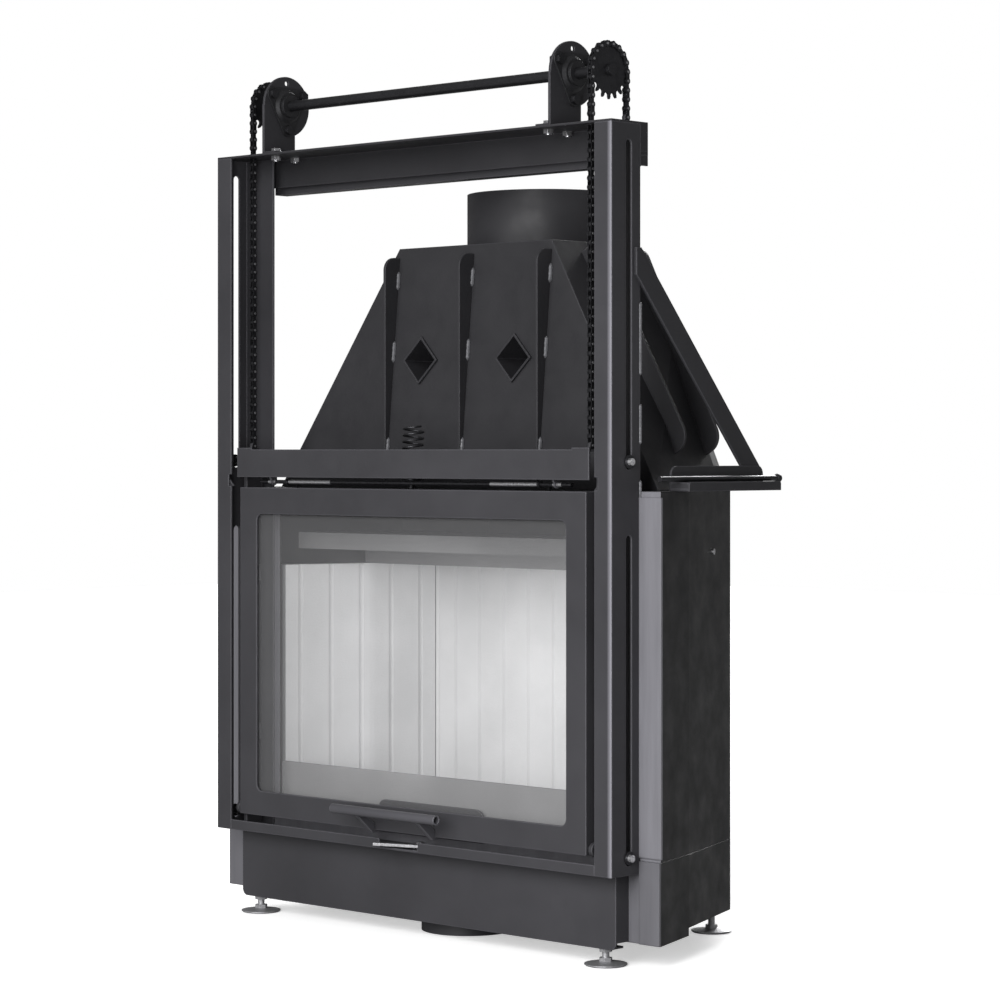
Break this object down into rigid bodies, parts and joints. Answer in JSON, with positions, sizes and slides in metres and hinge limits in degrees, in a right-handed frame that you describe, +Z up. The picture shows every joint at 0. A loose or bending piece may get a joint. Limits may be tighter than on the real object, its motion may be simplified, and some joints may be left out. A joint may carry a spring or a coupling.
{
  "type": "fireplace insert with a lift door",
  "caption": "Built-in fireplace insert with a counterweighted lift-up glass door, open chain drive, ribbed smoke hood, flue collar and levelling feet.",
  "frame": {"origin": "middle of the footprint's bounding box, on the floor under the levelling feet", "axes": "+Z up, -Y towards the room in front of the glass door, +X to the right seen from the room"},
  "size_m": [0.89, 0.484, 1.284],
  "materials": {
    "black_steel": "matte",
    "chain_steel": "oiled",
    "bright_steel": "zinc plated",
    "bearing_iron": "satin",
    "lining_board": "matte",
    "ceramic_glass": "clear",
    "seal_rope": "braided"
  },
  "bodies": {
    "frame": {"left_upright": "black_steel", "right_upright": "black_steel", "top_beam": "black_steel", "door_sill": "black_steel", "door_catches": "black_steel", "left_bracket": "black_steel", "right_bracket": "black_steel", "left_bearing": "bearing_iron", "right_bearing": "bearing_iron", "bracket_bolts": "bright_steel", "bearing_bolts": "bright_steel", "left_front_chain": "chain_steel", "right_front_chain": "chain_steel", "left_rear_chain": "chain_steel", "right_rear_chain": "chain_steel", "left_chain_wrap": "chain_steel", "right_chain_wrap": "chain_steel", "body_shell": "black_steel", "base_shell": "black_steel", "plinth": "black_steel", "levelling_feet": "bright_steel", "air_collar": "black_steel", "lever_screw": "bright_steel", "back_lining": "lining_board", "side_linings": "lining_board", "hearth": "lining_board", "log_guard": "lining_board", "log_stop": "black_steel", "baffle": "lining_board", "casing_screws": "bright_steel", "hood": "black_steel", "hood_ribs": "black_steel", "air_ducts": "black_steel", "flue_collar": "black_steel", "coil_grip": "chain_steel", "side_ledge": "black_steel", "side_brace": "black_steel"},
    "carriage": {"carriage_bar": "black_steel", "left_arm": "black_steel", "right_arm": "black_steel", "guide_bushes": "chain_steel", "guide_bolts": "bright_steel", "chain_anchors": "black_steel", "hinge_pins": "bright_steel"},
    "door": {"door_frame": "black_steel", "door_glass": "ceramic_glass", "glass_seal": "seal_rope", "glass_clips": "black_steel", "handle_tube": "black_steel", "handle_arms": "black_steel"},
    "latch": {"latch_bar": "bright_steel"},
    "weight": {"counterweight": "black_steel", "counterweight_lugs": "black_steel"},
    "shaft": {"lift_shaft": "chain_steel", "left_sprocket": "chain_steel", "right_sprocket": "chain_steel"},
    "damper": {"damper_plate": "black_steel", "damper_spindle": "black_steel"},
    "lever": {"air_lever": "bright_steel"},
    "rod": {"lock_rod": "chain_steel"}
  },
  "joints": [
    {"name": "lift", "type": "slide", "parent": "frame", "child": "carriage", "axis": [0, 0, 1], "range_m": [0, 0.43], "deforming": ["left_front_chain", "right_front_chain"]},
    {"name": "weight_slide", "type": "slide", "parent": "frame", "child": "weight", "axis": [0, 0, 1], "range_m": [-0.43, 0], "deforming": ["left_rear_chain", "right_rear_chain"]},
    {"name": "shaft_turn", "type": "hinge", "parent": "frame", "child": "shaft", "pos_m": [0, -0.139, 1.238], "axis": [1, 0, 0], "range_deg": [-675, 0], "deforming": ["left_chain_wrap", "right_chain_wrap"]},
    {"name": "door_tilt", "type": "hinge", "parent": "carriage", "child": "door", "pos_m": [0, -0.184, 0.163], "axis": [1, 0, 0], "range_deg": [0, 30]},
    {"name": "latch_turn", "type": "hinge", "parent": "carriage", "child": "latch", "pos_m": [0, -0.184, 0.663], "axis": [1, 0, 0], "range_deg": [0, 40]},
    {"name": "damper_turn", "type": "hinge", "parent": "frame", "child": "damper", "pos_m": [0, 0.107, 1.035], "axis": [1, 0, 0], "range_deg": [0, 80]},
    {"name": "air_lever_swing", "type": "hinge", "parent": "frame", "child": "lever", "pos_m": [0.022, -0.182, 0.135], "axis": [0, 0, 1], "range_deg": [0, 60]},
    {"name": "lock_rod_slide", "type": "slide", "parent": "frame", "child": "rod", "axis": [0, 1, 0], "range_m": [0, 0.04]}
  ],
  "couplings": [
    {"joint": "weight_slide", "follows": "lift", "ratio": -1},
    {"joint": "shaft_turn", "follows": "lift", "rad_per_m": -27.346}
  ]
}
